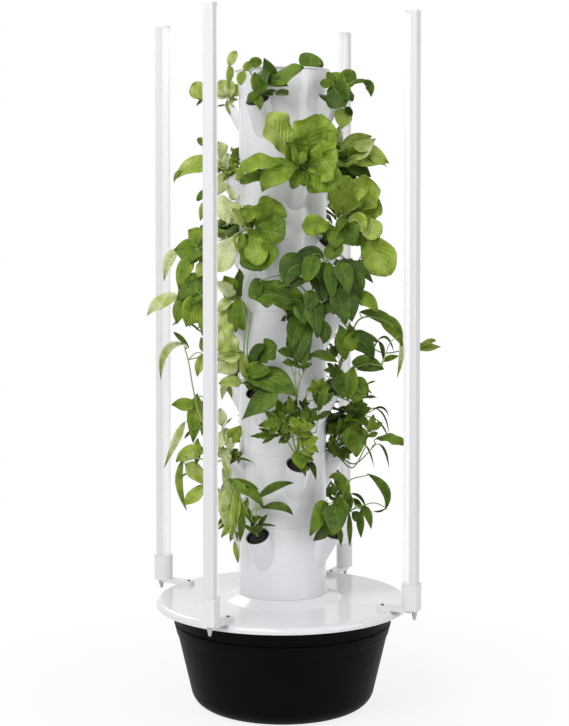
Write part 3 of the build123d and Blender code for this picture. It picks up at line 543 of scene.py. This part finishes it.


# Plants in the photograph. A row that starts with plant gives the section and the pocket of those
# after it. Each other row is one leaf in the photograph's pixels: the kind, where its base and its tip
# are, its width, its tone from 0 (dark) to 100 (pale), and how far in millimetres its base and its
# tip stand nearer the camera than the plant's crown. The tone is the leaf's own green with painted
# shade: a leaf that lies in shadow gets a darker tone. A kind with @ gives the pixel that the leaf
# leans to on its way. A row that starts with stem gives a stem's pixels.
FOLIAGE = """
plant 7 0
stem 262 97 266 88 266 76
stem 261 97 258 90 250 72 244 70
ovate 274 84 304 67 22 38 50 70
ovate 264 78 288 86 12 20 40 60
lance 276 86 264 58 13 16 25 40
ovate 254 92 270 70 24 30 30 50
ovate 258 90 254 72 12 34 45 55
round 262 63 249 63 10 40 20 20
round 252 63 244 71 10 46 20 25
round 243 71 241 85 10 58 25 30
lance 258 91 248 104 10 22 40 60
ovate 256 94 260 110 11 36 45 60
round 262 93 273 95 7 26 30 35
lance 265 92 277 91 5 30 30 35
round 276 93 288 95 11 28 30 45
ovate 260 96 252 99 10 30 30 40
plant 7 3
stem 239 100 230 90 228 78 230 62
stem 239 100 226 96 204 98
round 229 66 236 51 10 58 20 10
round 229 82 232 67 8 56 20 20
lance 228 84 230 62 6 66 10 10
round 228 96 219 81 16 60 20 20
round 230 96 229 80 12 66 30 30
round 232 96 240 85 11 62 20 20
round 226 98 217 90 11 66 20 20
round 229 101 238 106 12 58 20 20
lance 227 100 230 115 6 56 20 20
lance 226 105 216 107 2 40 20 20
lance 232 90 245 88 3 24 20 10
round 203 98 193 83 17 58 10 10
round 204 86 199 100 12 60 10 10
lance 204 98 196 106 3 30 10 10
plant 7 1
stem 331 98 334 90 342 84 350 84
stem 333 98 340 100 345 108
round 333 86 346 106 26 27 30 60
ovate 341 90 353 101 16 22 50 60
round 340 86 355 72 17 40 20 20
ovate 344 88 330 73 15 56 20 10
round 333 85 320 84 11 34 30 30
round 333 83 327 72 7 40 30 20
ovate 333 98 331 86 10 26 20 30
lance@359,79 349 85 371 82 6 44 20 10
lance@372,82 362 82 371 97 10 40 10 0
ovate 345 108 341 129 18 76 10 20
round 346 107 352 116 7 24 10 20
plant 7 2
stem 308 92 309 78 310 68
round 310 72 310 53 25 36 -20 -30
lance 314 70 324 65 5 30 -20 -20
round 306 84 296 74 12 34 -20 -40
plant 6 0
cos 296 166 267 115 33 82 20 60
cos 298 164 318 114 42 61 20 60
cos@318,148 301 166 337 132 31 58 25 60
cos 302 166 338 160 38 56 30 80
cos@322,172 304 168 336 190 31 46 40 70
cos 303 170 316 193 20 38 30 60
round 299 170 292 189 12 50 30 50
round 301 171 305 186 11 44 30 50
cos@268,156 298 166 241 170 19 64 40 90
ovate@270,168 297 168 262 192 27 58 50 80
cos@268,172 296 170 240 182 14 44 30 80
cos 298 165 300 138 18 36 35 60
ovate 299 164 310 145 16 42 40 66
ovate 296 164 286 142 17 44 40 66
ovate 297 163 293 146 10 56 60 80
ovate 300 163 306 150 9 62 60 80
plant 6 3
stem 234 172 226 170 220 160
cos 227 170 217 142 13 86 10 20
ovate 226 172 217 196 15 82 10 20
cos 227 176 234 200 13 80 10 20
ovate 226 168 228 153 11 84 20 20
ovate 233 157 233 171 10 38 20 20
lance 232 161 244 160 6 14 20 10
lance 233 160 233 149 3 30 20 20
ovate 232 172 245 178 11 44 20 40
lance 232 171 223 181 6 26 20 30
ovate@192,157 224 165 174 180 21 60 0 0
lance@176,172 182 171 174 183 5 54 0 0
round 208 146 197 139 7 40 0 0
round 206 190 197 201 7 40 0 0
ovate 207 200 200 221 9 66 0 0
plant 6 1
stem 334 170 342 160 348 152
ovate@352,142 344 157 372 136 23 79 20 30
ovate@366,150 346 157 389 163 25 77 30 30
ovate@360,148 348 160 376 139 22 81 40 40
ovate 344 162 371 177 18 22 10 20
ovate 340 170 356 184 17 18 0 20
ovate 346 160 352 182 17 20 0 0
lance@340,146 335 143 352 153 7 86 10 10
ovate 336 150 339 126 12 92 -10 -20
plant 5 0
cos 250 231 240 209 18 60 15 30
cos 251 230 255 211 15 48 10 20
stem 258 241 250 232 244 228
cos 257 236 272 198 31 48 20 40
cos 252 230 285 236 35 34 40 60
cos 250 228 264 270 40 32 50 70
cos@262,246 247 230 252 264 24 48 50 80
cos@232,208 244 228 218 216 33 72 20 30
cos 243 226 254 208 18 48 30 50
cos@226,244 242 232 219 272 24 84 30 50
ovate 240 232 240 254 13 32 30 50
ovate 246 226 232 209 15 64 30 50
plant 5 3
ovate 214 240 200 226 17 40 0 0
plant 5 1
stem 332 243 338 228 342 218
cos 344 222 352 178 45 72 30 60
cos 346 220 378 186 40 70 30 50
cos 352 220 381 203 28 68 40 50
cos 340 222 333 190 21 70 30 60
cos 336 228 302 226 20 56 60 90
cos 352 222 381 235 20 82 50 60
cos@376,240 352 236 388 276 33 62 30 40
ovate 342 224 354 246 27 32 50 70
ovate 338 226 334 250 21 35 50 70
round 338 242 330 260 18 35 50 70
ovate 336 228 346 222 20 39 60 90
ovate 352 214 366 232 17 75 60 70
cos 346 232 366 242 19 46 30 40
plant 4 0
stem 300 316 312 290 322 268 330 258
stem 302 316 326 290 340 268
ovate@310,246 324 258 294 257 11 14 40 70
ovate@286,260 306 266 285 288 26 22 50 80
ovate 313 254 307 283 21 30 60 90
ovate 304 278 288 289 13 12 50 80
lance 329 262 332 300 15 26 60 85
ovate@346,270 338 262 347 297 20 28 50 80
lance@358,262 344 266 373 283 12 14 20 30
ovate 350 270 361 298 20 17 20 30
ovate 346 284 352 322 22 15 30 40
ovate 336 288 346 324 22 14 40 50
ovate 318 268 322 302 22 12 40 60
ovate 312 290 310 312 17 24 60 80
ovate 325 262 321 284 17 14 40 60
cos@276,288 304 308 250 298 32 30 60 100
ovate@280,296 306 302 262 288 22 30 50 90
lance 262 280 257 299 6 20 90 100
ovate 302 314 290 350 20 26 40 80
ovate 306 318 296 364 21 20 40 80
ovate 308 322 303 372 12 24 40 80
ovate 314 298 317 338 21 18 60 90
lance@330,336 320 318 323 344 13 14 60 90
ovate@366,292 354 300 378 313 18 48 20 30
ovate 300 300 304 326 18 20 60 90
ovate 330 300 322 318 15 16 40 60
plant 4 3
stem 234 312 222 290 206 262 196 246
stem 232 314 214 306 196 290
ovate 206 244 188 230 22 42 20 20
ovate 204 254 174 250 23 30 20 20
lance@168,252 180 250 164 281 12 88 0 0
ovate 203 238 190 263 20 26 20 30
ovate@182,266 194 257 179 290 17 40 20 30
ovate 206 262 197 278 13 58 20 30
ovate 205 276 177 300 22 24 20 30
ovate 206 284 186 306 21 28 20 30
ovate@160,296 180 298 147 316 16 80 10 10
ovate@178,308 190 294 177 324 17 28 20 30
ovate 200 296 186 327 24 46 20 30
ovate 208 300 202 334 16 34 20 30
lance 188 322 203 334 2 20 20 30
lance 182 318 172 326 2 30 20 30
ovate 236 294 216 283 18 70 40 50
ovate 236 290 224 276 15 30 30 40
ovate 238 300 239 268 12 18 20 40
ovate@236,316 240 298 236 333 20 20 40 70
ovate 232 306 217 328 16 62 30 50
ovate 230 298 218 312 13 58 30 50
ovate 207 250 206 276 16 44 10 10
plant 4 1
stem 334 314 350 330 380 352 405 350
ovate 412 349 441 347 11 57 -10 -30
ovate@432,338 418 348 436 341 6 65 -10 -30
plant 3 0
stem 258 388 248 378 244 350 246 322 241 298
stem 258 388 250 374 247 348 252 312
cos 242 352 214 334 32 60 30 50
ovate 241 353 216 359 21 58 30 50
ovate 238 358 217 372 21 68 30 50
ovate 242 382 219 384 15 60 30 50
lance@222,380 234 381 222 400 9 80 20 30
lance@230,386 225 386 232 399 6 40 20 30
ovate@252,348 250 368 267 345 13 12 30 60
cos 252 366 277 348 24 30 40 60
ovate 248 374 271 371 17 38 50 70
ovate@272,372 247 378 298 398 29 30 40 90
ovate@270,398 274 386 241 420 24 22 80 90
ovate 246 380 242 351 11 68 30 40
ovate 247 376 262 362 15 34 30 60
ovate 244 330 238 316 10 30 20 30
plant 2 3
stem 234 455 214 436 200 416 193 388 189 364 184 345
stem 234 456 216 462 196 458 184 462
stem 234 456 226 444 222 430
lance@158,340 185 344 161 380 8 88 0 0
lance@180,336 189 347 173 332 5 24 0 0
ovate 207 354 201 337 10 34 10 10
ovate 203 354 197 377 11 60 10 10
ovate 197 406 171 405 15 38 10 10
lance 197 394 193 443 17 34 10 10
lance 204 398 202 436 10 40 10 10
lance@180,430 185 422 164 468 9 84 -10 -20
lance 192 430 184 439 3 30 10 10
ovate@186,450 206 450 176 462 15 56 10 10
ovate 196 458 198 438 9 44 10 10
lance 198 450 196 465 6 30 10 10
lance@172,480 184 458 187 511 8 50 0 0
ovate 185 464 207 486 18 70 10 10
ovate 206 486 183 506 15 52 10 10
lance 180 478 190 472 2 34 0 0
ovate 222 426 220 408 12 84 10 10
ovate 224 430 218 452 13 74 20 30
ovate 226 428 231 452 15 72 20 30
ovate 230 440 241 426 13 34 20 30
ovate 231 436 240 442 10 40 20 30
lance 226 424 232 418 2 40 20 30
ovate 222 448 230 464 12 74 20 30
lance@238,454 228 463 255 463 3 30 20 50
lance 241 457 238 464 3 24 30 50
plant 2 0
stem 297 462 292 432 296 402 295 380 289 358
stem 298 462 297 424 297 394 303 374 312 359
stem 299 462 300 430 306 396 311 384
stem 298 462 284 436 276 430
lobed@276,416 294 424 257 431 25 44 60 110
lobed@272,434 294 436 248 437 17 38 50 110
lobed 289 432 275 398 25 40 30 60
lobed 292 428 288 396 21 46 40 60
lobed 296 440 304 416 30 58 60 80
lobed 299 452 319 438 28 62 60 80
lobed 300 424 318 408 21 28 40 60
lobed@318,396 316 432 329 385 23 32 30 60
lobed 327 398 311 380 21 48 30 60
lobed 300 416 306 397 12 34 30 50
lobed 302 456 306 478 10 40 40 60
lance@314,464 309 462 316 480 6 26 40 60
ovate 297 450 302 470 16 42 50 60
lobed 300 452 314 462 14 56 50 60
lobed 296 372 288 336 30 38 30 60
lobed 299 374 305 346 23 34 30 60
lobed 290 446 278 424 16 50 50 80
lobed 310 430 300 410 16 40 50 80
lance 292 438 274 434 2 60 50 90
plant 3 1
stem 332 386 342 362 345 336 350 322
stem 334 386 348 372 366 364 382 366
stem 340 370 352 332 362 318 378 318 394 326
lance@384,312 360 312 402 334 12 40 20 20
ovate@396,322 378 318 402 346 15 46 20 10
lance@404,350 400 336 397 378 6 93 10 0
ovate 352 334 378 342 13 37 20 20
lance@388,330 378 340 394 352 3 23 10 10
lance@384,346 378 341 383 361 5 25 10 10
ovate@368,338 350 338 373 361 18 23 40 40
ovate 352 362 384 369 15 31 30 30
lance 382 362 399 356 7 45 20 20
lance 367 384 376 381 2 25 20 20
lance 366 388 372 394 2 25 20 20
lobed 344 374 323 371 18 34 50 70
ovate@322,350 337 362 309 357 11 39 60 90
ovate 344 398 336 364 17 30 50 60
ovate 348 400 353 366 17 44 50 60
ovate 352 402 366 384 15 36 50 50
ovate 346 352 357 331 17 51 40 40
ovate 345 360 339 324 17 35 40 50
ovate 336 346 331 360 10 27 40 60
ovate 352 350 350 324 16 39 30 30
ovate 358 370 372 352 12 27 30 30
ovate 342 388 330 380 15 21 60 80
ovate 354 378 368 396 16 27 50 50
plant 2 1
stem 334 452 344 438 352 420
stem 336 452 352 468 366 446
stem 336 452 354 464 376 444
lobed 346 420 371 411 30 40 40 50
lobed 366 442 374 414 20 56 40 40
ovate 353 424 356 457 27 41 50 60
lobed 334 432 361 421 21 50 50 60
lobed 338 440 328 424 16 44 50 70
lobed 336 444 326 444 16 42 50 70
lobed 338 446 333 458 16 44 50 70
lobed 342 436 338 418 16 46 50 70
lobed 342 448 350 460 14 42 40 60
lobed 348 432 348 452 18 44 60 70
lobed 356 436 366 446 16 46 40 40
lobed 354 412 362 398 18 42 40 40
cos@384,436 374 440 404 444 12 51 30 0
lance@386,446 378 444 389 468 3 27 20 10
lance@370,448 364 444 374 467 2 25 20 10
lance@384,400 370 412 389 417 2 23 20 10
lance@386,410 374 408 389 434 2 23 20 10
lance@384,424 374 418 389 440 2 27 20 10
plant 1 1
stem 332 528 340 508 348 482 368 475
stem 332 528 346 514 356 508
lance@395,488 368 474 385 510 9 33 30 20
lance@380,513 386 508 373 511 2 15 20 10
ovate@322,508 328 504 310 536 18 39 50 90
ovate 336 504 332 536 24 29 50 80
ovate 332 528 313 541 10 19 60 80
ovate@342,470 348 504 329 478 13 39 30 50
lobed 337 504 331 482 16 30 40 60
ovate 343 520 338 494 17 27 40 50
ovate 348 514 346 486 12 37 20 20
lance 349 512 350 547 6 39 30 30
lance 339 526 341 546 6 35 50 60
lance 353 498 363 510 6 19 20 20
lance@370,510 359 505 371 529 9 39 20 20
lance 361 510 361 538 8 29 20 20
ovate 352 512 362 523 11 31 20 20
lance@362,492 350 494 366 509 3 21 20 20
ovate 342 526 326 532 12 23 60 80
ovate 334 512 322 520 15 31 60 80
plant 1 3
lance 237 520 221 538 9 60 30 50
lance 236 506 225 486 10 74 20 30
stem 239 519 234 506 230 494
lance 236 510 222 468 10 78 10 20
lance 238 512 217 488 12 74 10 20
lance 234 516 218 524 9 76 20 20
lance 236 520 224 534 9 72 20 20
lance 237 520 230 542 8 66 20 20
lance 240 518 239 542 8 24 20 40
lance 238 514 218 502 10 80 10 20
lance 238 512 228 476 10 66 20 30
lance 236 538 238 563 9 62 20 30
lance 234 518 217 530 5 34 20 20
lance 238 508 226 490 9 82 30 30
lance 236 512 220 512 10 72 20 20
plant 1 0
stem 258 532 256 518 256 502
lance@274,484 257 499 294 483 10 28 20 60
lance@282,502 262 508 293 515 10 30 20 60
lance 254 526 276 526 3 36 20 50
lance@252,514 252 530 263 518 6 18 20 40
lance 257 528 268 514 5 34 20 40
stem 256 530 248 514 240 498 230 484 223 468
stem 257 530 252 520 253 510 260 506
lance@227,464 230 482 219 446 8 70 -10 -20
lance@246,480 226 480 259 490 6 30 20 20
ovate@238,485 228 481 251 497 10 44 20 30
ovate@255,492 243 486 263 508 11 38 20 40
lance 248 498 240 521 8 42 20 30
lance@238,508 237 482 231 540 10 56 20 30
lance 243 512 240 542 8 16 30 40
lance@220,506 223 484 229 532 11 64 10 20
lance 226 514 217 527 4 14 10 20
ovate@225,498 233 484 221 516 12 60 10 20
lance 231 500 226 535 8 58 12 20
lance 239 494 236 526 9 48 26 30
lance 230 488 216 500 8 50 0 0
ovate 244 506 252 524 8 24 20 30
round 253 522 260 517 6 30 30 40
lance 254 520 247 510 4 20 20 20
round 253 533 262 526 7 22 30 40
lance 252 532 244 524 4 34 20 30
round 256 534 250 527 6 28 30 40
"""

# What grows where the photograph doesn't show it, by section and pocket
GROWN = {
    (7, 2): "round", (6, 2): "cos", (6, 1): "cos", (5, 2): "ovate", (5, 3): "cos", (4, 1): "ovate",
    (4, 2): "cos", (3, 2): "lance", (3, 3): "ovate", (2, 2): "lobed", (2, 1): "lobed", (1, 2): "ovate",
}
# For each kind grown: stems, their height, leaf pairs on each, leaf length, width share and tone
HABITS = {
    "round": (7, 0.080, 3, 0.030, 0.80, 0.50),
    "cos": (15, 0.100, 0, 0.118, 0.66, 0.50),
    "ovate": (9, 0.145, 4, 0.060, 0.56, 0.30),
    "lance": (11, 0.150, 5, 0.058, 0.24, 0.42),
    "lobed": (13, 0.130, 2, 0.056, 0.90, 0.34),
}
# Low leaves that hide a pot's mouth where the photograph shows none: count, kind, length and tone
SKIRTS = {
    (7, 1): (5, "round", 0.026, 0.34), (6, 0): (7, "cos", 0.040, 0.30), (6, 3): (6, "cos", 0.036, 0.50),
    (5, 0): (6, "cos", 0.040, 0.45), (5, 1): (7, "cos", 0.042, 0.30), (4, 0): (8, "ovate", 0.038, 0.20),
    (4, 3): (7, "ovate", 0.038, 0.45), (3, 0): (5, "ovate", 0.034, 0.36), (3, 1): (7, "ovate", 0.036, 0.24),
    (2, 1): (7, "lobed", 0.040, 0.30), (2, 3): (6, "ovate", 0.036, 0.50), (1, 1): (6, "ovate", 0.036, 0.24),
}
# Painted light: the lit bars on the left fall on the leaves beside them, and these leaves are drawn paler for
# it: pixel across, and how much paler a leaf is there
PAINTED_BAR_LIGHT = ((150, 0.14), (205, 0.16), (225, 0.32), (262, 0.0), (IMAGE_WIDTH, 0.0))
# How far a drawn leaf rolls about its rib, as a slope: it keeps its outline in the photograph
MAX_ROLL = 0.75
STEM_RADII = (0.0022, 0.0012)
GROWN_STEM_RADII = (0.0018, 0.0010)
STALK_RADII = (0.0012, 0.0008)
SHORTEST_STALK = 0.002
STALK_END = 0.004
# Along the pocket's axis: how far below the crown a drawn stem starts, and how far above it the stems
# and the stalks leave
STEM_FOOT = 0.006
STEM_RISE = 0.010
STALK_RISE = 0.012
# A drawn stem stands this far in front of the crown, and that much further at its tip
STEM_NEAR = 0.022
STEM_TIP_NEAR = 0.018
# How far from the crown a skirt's leaves and a grown plant's stems start, and how deep those stems go
SKIRT_START = 0.004
GROWN_START = 0.006
GROWN_FOOT = 0.004
GOLDEN_TURN = 0.382


def site(section, pocket):
    """Crown point, pocket axis and outward direction of one pocket."""
    azimuth = math.radians(BAR_AZIMUTHS[pocket] + (45 if section % 2 == 0 else 0))
    out = Vector((math.cos(azimuth), math.sin(azimuth), 0))
    axis = (out * math.sin(POCKET_TILT) + UP * math.cos(POCKET_TILT)).normalized()
    crown = out * MOUTH_DISTANCE + UP * (COLUMN_FOOT + section * SECTION_PITCH - MOUTH_DROP)
    return crown, axis, out


def painted_bar_light(x):
    """How much paler a leaf is drawn at that pixel, as painted light from the lit bars."""
    for (start, low), (end, high) in zip(PAINTED_BAR_LIGHT, PAINTED_BAR_LIGHT[1:]):
        if start <= x <= end:
            return low + (high - low) * (x - start) / (end - start)
    return PAINTED_BAR_LIGHT[0][1]


def draw(shape, rows, crown, axis, rng):
    """The leaves and stems of one plant in the photograph."""
    near = -crown.dot(AHEAD)
    foot = crown - axis * STEM_FOOT
    starts = [foot, crown + axis * STALK_RISE]
    for name, *numbers in rows:
        if name != "stem":
            continue
        pixels = [float(v) for v in numbers]
        pairs = list(zip(pixels[2::2], pixels[3::2]))
        points = [foot, crown + axis * STEM_RISE]
        for i, (x, y) in enumerate(pairs, 1):
            points.append(photo_point(x, y, near + STEM_NEAR + STEM_TIP_NEAR * i / len(pairs)))
        smooth = curve_through(points)
        tube(shape, smooth, *STEM_RADII, 0.55 + rng.uniform(-0.15, 0.1))
        starts += smooth
    for name, *numbers in rows:
        if name == "stem":
            continue
        kind, _, lean = name.partition("@")
        base_x, base_y, tip_x, tip_y, width, tone, *depths = (float(v) for v in numbers)
        base_near, tip_near = (near + depth / 1000 for depth in depths)
        base = clear_of_column(photo_point(base_x, base_y, base_near))
        tip = clear_of_column(photo_point(tip_x, tip_y, tip_near))
        if lean:
            x, y = (float(v) for v in lean.split(","))
            via = photo_point(x, y, (base_near + tip_near) / 2)
        else:
            via = (base + tip) / 2 + UP * (tip - base).length * rng.uniform(0.03, 0.12)
        roll = rng.uniform(-MAX_ROLL, MAX_ROLL)
        across = AHEAD.cross(tip - base).normalized()
        facing = (-AHEAD + UP * 0.45 + across * roll).normalized()
        width *= pixel_length(near) * math.sqrt(1 + roll ** 2)
        # Painted light: near the lit bars on the left the leaf's tone is made paler
        leaf(shape, base, via, tip, width, facing, kind, tone / 100 + painted_bar_light((base_x + tip_x) / 2), rng)
        start = min(starts, key=lambda p: (p - base).length + 2 * max(0.0, p.z - base.z))
        reach = (start - base).length
        if reach > SHORTEST_STALK:
            ahead = (via - base).normalized()
            middle = (start + base) / 2 + UP * 0.10 * reach - ahead * 0.12 * reach
            stalk = curve_through([start, middle, base, base + ahead * STALK_END], 4)
            tube(shape, stalk, *STALK_RADII, 0.35 + tone / 250, sides=5)


def skirt(shape, look, crown, axis, out, rng):
    """A ring of low leaves round the crown."""
    count, kind, length, tone = look
    across = axis.cross(out).normalized()
    for i in range(count):
        angle = 2 * math.pi * (i + rng.uniform(-0.25, 0.25)) / count
        away = out * math.cos(angle) + across * math.sin(angle)
        size = length * rng.uniform(0.8, 1.2)
        root = crown + away * SKIRT_START + axis * SKIRT_START
        tip = clear_of_column(root + (away + UP * rng.uniform(-0.4, 0.7)).normalized() * size)
        via = (root + tip) / 2 + UP * 0.30 * size
        facing = (UP * 0.6 - AHEAD * 0.6 + away * 0.3).normalized()
        leaf(shape, root, via, tip, size * 0.68, facing, kind, tone + rng.uniform(-0.1, 0.1), rng)


def grow(shape, habit, crown, axis, out, rng):
    """One plant of a kind, from its habit."""
    stems, height, pairs, length, share, tone = HABITS[habit]
    across = axis.cross(UP).normalized()
    for i in range(stems):
        angle = 2 * math.pi * (i + rng.uniform(-0.3, 0.3)) * GOLDEN_TURN
        lean = out * math.cos(angle) + across * math.sin(angle)
        push = out * 0.55
        root = crown + lean * GROWN_START
        if pairs == 0:
            spread = 0.25 + 0.75 * (i + 0.5) / stems
            size = length * (0.55 + 0.5 * (i + 1) / stems) * rng.uniform(0.9, 1.1)
            heading = (UP * (1.15 - spread) + lean * spread * 1.1 + push * 0.5).normalized()
            tip = root + heading * size
            via = (root + tip) / 2 + UP * 0.18 * size
            facing = (UP * 0.9 + lean * -0.5 + heading * 0.1).normalized()
            shade = tone + rng.uniform(-0.12, 0.1)
            leaf(shape, root, via, clear_of_column(tip), size * share, facing, habit, shade, rng)
            continue
        spread = rng.uniform(0.25, 0.8)
        tall = height * rng.uniform(0.6, 1.1)
        top = root + UP * tall + (lean * spread * 0.6 + push * 0.5) * tall
        bow = root + (axis + UP) * 0.25 * tall + lean * 0.1 * tall
        line = curve_through([root - axis * GROWN_FOOT, bow, top], 5)
        tube(shape, line, *GROWN_STEM_RADII, 0.5 + rng.uniform(-0.1, 0.15))
        for pair in range(pairs):
            at = line[-1 - 2 * pair] if 2 * pair < len(line) else line[1]
            turn = angle + pair * math.pi / 2 + rng.uniform(-0.3, 0.3)
            for sign in (-1, 1):
                way = (out * math.cos(turn) + across * math.sin(turn)) * sign
                size = length * rng.uniform(0.75, 1.1) * (1.0 if pair else 0.85)
                tip = at + way * size * 0.85 - UP * size * rng.uniform(-0.1, 0.6)
                via = (at + tip) / 2 + UP * size * 0.22
                facing = (UP + way * 0.9).normalized()
                shade = tone + rng.uniform(-0.1, 0.12)
                leaf(shape, at, via, clear_of_column(tip), size * share, facing, habit, shade, rng)


# Net pots and plugs
POT_WALL = 0.0014
POT_COLUMNS = 36
RIB_EVERY = 3
# Radius and place along the pot's axis, from the rim down to the floor's middle
POT_LEVELS = ((0.0275, 0.0), (0.0254, 0.0002), (0.0251, -0.006), (0.0240, -0.012), (0.0214, -0.0245),
              (0.0210, -0.0275), (0.0190, -0.0400), (0.0180, -0.0440), (0.0180, -0.0485), (0.009, -0.0485),
              (0.0035, -0.0485))
SLOTTED_LEVELS = (3, 5, 8)
PLUG_COLUMNS = 20
PLUG_LEVELS = ((0.0145, -0.0450), (0.0155, -0.0300), (0.0195, -0.0160), (0.0225, -0.0070), (0.0190, -0.0030),
               (0.0120, -0.0012), (0.0045, -0.0004))
FIRST_CRUMBLY_LEVEL = 3
CRUMB = 0.0009


def ring_points(centre, axis, side, radius, along, count):
    other = axis.cross(side)
    angles = [2 * math.pi * j / count for j in range(count)]
    return [centre + axis * along + (side * math.cos(a) + other * math.sin(a)) * radius for a in angles]


def net_pot(shape, crown, axis, side):
    """A basket of ribs and hoops under a rolled rim, with slots between them."""
    rows = [ring_points(crown, axis, side, radius, along, POT_COLUMNS) for radius, along in POT_LEVELS]
    uv_rows = [[(j / POT_COLUMNS, 0.0) for j in range(POT_COLUMNS)]] * len(rows)
    shape.grid(rows, uv_rows, closed=True, open_at=lambda i, j: i in SLOTTED_LEVELS and j % RIB_EVERY != 0)


def plug(shape, crown, axis, side, rng):
    """The growing medium in a pot: a crumbly low mound over a tapered body."""
    rows = []
    for i, (radius, along) in enumerate(PLUG_LEVELS):
        ring = ring_points(crown, axis, side, radius, along, PLUG_COLUMNS)
        if i >= FIRST_CRUMBLY_LEVEL:
            ring = [point + axis * rng.uniform(-CRUMB, CRUMB) for point in ring]
        rows.append(ring)
    shape.grid(rows, closed=True, capped=True)


drawn = {}
for plant in FOLIAGE.split("plant ")[1:]:
    place, *rows = plant.splitlines()
    section, pocket = (int(v) for v in place.split())
    drawn[section, pocket] = [row.split() for row in rows]
for section in SECTIONS:
    foliage, pots, plugs = Shape(), Shape(), Shape()
    for pocket in range(len(BAR_AZIMUTHS)):
        crown, axis, out = site(section, pocket)
        rng = random.Random(section * 10 + pocket)
        if (section, pocket) in drawn:
            draw(foliage, drawn[section, pocket], crown, axis, rng)
        if (section, pocket) in SKIRTS:
            skirt(foliage, SKIRTS[section, pocket], crown, axis, out, rng)
        if (section, pocket) in GROWN:
            grow(foliage, GROWN[section, pocket], crown, axis, out, rng)
        side = axis.cross(out).normalized()
        net_pot(pots, crown, axis, side)
        plug(plugs, crown, axis, side, rng)
    body = f"section_{section}"
    made = foliage.object(f"foliage_{section}", (materials["leaf_green"], STEM), LEAF_THICKNESS)
    filling = plugs.object(f"plugs_{section}", (PLUG,))
    baskets = pots.object(f"pot_baskets_{section}", (materials["pot_black"],), POT_WALL, offset=-1)
    for piece, slot in ((made, "leaf_green"), (filling, "leaf_green"), (baskets, "pot_black")):
        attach(piece, body)
    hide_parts(f"plants_{section}")
    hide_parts(f"plants_{section}")
    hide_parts(f"net_pots_{section}")

# Light-emitting diodes on each bar's strip
CHIP_PITCH = 0.0137
CHIP_DEPTH, CHIP_WIDTH, CHIP_HEIGHT = 0.0009, 0.0052, 0.0050
CHIP_START = 0.300
CHIP_END = 1.608
# How far each ring of a chip stands off the strip, in chip depths, and its share of the chip's size
CHIP_RINGS = ((0.0, 1.0), (-0.75, 1.0), (-1.0, 0.78))
# The corners of a square that reaches 1 each way
SQUARE = ((-1, -1), (1, -1), (1, 1), (-1, 1))
for number, azimuth in enumerate(BAR_AZIMUTHS, 1):
    chips = Shape()
    angle = math.radians(azimuth)
    out = Vector((math.cos(angle), math.sin(angle), 0))
    along = Vector((-math.sin(angle), math.cos(angle), 0))
    for i in range(int((CHIP_END - CHIP_START) / CHIP_PITCH)):
        centre = out * STRIP_FACE_RADIUS + UP * (CHIP_START + i * CHIP_PITCH)
        rings = []
        for depth, share in CHIP_RINGS:
            rings.append([centre + out * CHIP_DEPTH * depth + along * a * share * CHIP_WIDTH / 2
                          + UP * b * share * CHIP_HEIGHT / 2 for a, b in SQUARE])
        chips.grid(rings, closed=True, capped=True)
    made = chips.object(f"led_chips_{number}", (CHIP,), smooth=False)
    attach(made, f"light_bar_{number}")

# Floor: it keeps the tower's shadow near the tub and fades into the white background
HALF_FLOOR = 30.0
FADE_START, FADE_END = 0.36, 1.0
NEAR_WHITE = 0.84
floor_mesh = bpy.data.meshes.new("floor")
floor_mesh.from_pydata([(x * HALF_FLOOR, y * HALF_FLOOR, 0) for x, y in SQUARE], [], [(0, 1, 2, 3)])
floor = bpy.data.objects.new("floor", floor_mesh)
bpy.context.scene.collection.objects.link(floor)
n = Surface("floor_white")
place = n.add("ShaderNodeTexCoord").outputs["Object"]
distance = n.add("ShaderNodeVectorMath", {0: place}, operation="LENGTH").outputs["Value"]
fade = n.spread(distance, NEAR_WHITE, 1.0, FADE_START, FADE_END)
white = n.add("ShaderNodeEmission", {"Color": (1, 1, 1, 1), "Strength": 1.0})
n.set(Base_Color=(0.9, 0.9, 0.9, 1), Roughness=0.8)
share = n.math("MULTIPLY", n.seen_ray(), fade)
blend = n.add("ShaderNodeMixShader", {0: share, 1: n.shader.outputs[0], 2: white.outputs[0]})
n.feed(n.tree.nodes["Material Output"].inputs["Surface"], blend.outputs[0])
floor_mesh.materials.append(n.material)

# World: white to the camera, and dimmer as a light
WORLD_LIGHT = 0.46
world = bpy.data.worlds.new("world")
bpy.context.scene.world = world
world.use_nodes = True
n = Graph(world.node_tree)
background = n.tree.nodes["Background"].inputs
n.feed(background["Color"], (1, 1, 1, 1))
n.feed(background["Strength"], n.spread(n.seen_ray(), WORLD_LIGHT, 1.0))

# Lamps: how far to the camera's right, how high and how far towards the camera each stands, then its
# size and power
LAMP_AIM_HEIGHT = 0.8
LAMPS = {
    "key": (-1.6, 3.4, 2.8, 2.2, 88.0),
    "fill": (2.8, 1.8, 1.6, 2.0, 20.0),
    "rim": (-1.6, 2.4, -2.8, 1.6, 24.0),
}
for name, (side, height, toward, size, power) in LAMPS.items():
    data = bpy.data.lights.new(name, "AREA")
    data.shape = "DISK"
    data.size, data.energy = size, power
    made = bpy.data.objects.new(name, data)
    bpy.context.scene.collection.objects.link(made)
    made.location = RIGHT * side - AHEAD * toward + UP * height
    made.rotation_euler = (UP * LAMP_AIM_HEIGHT - made.location).to_track_quat("-Z", "Y").to_euler()
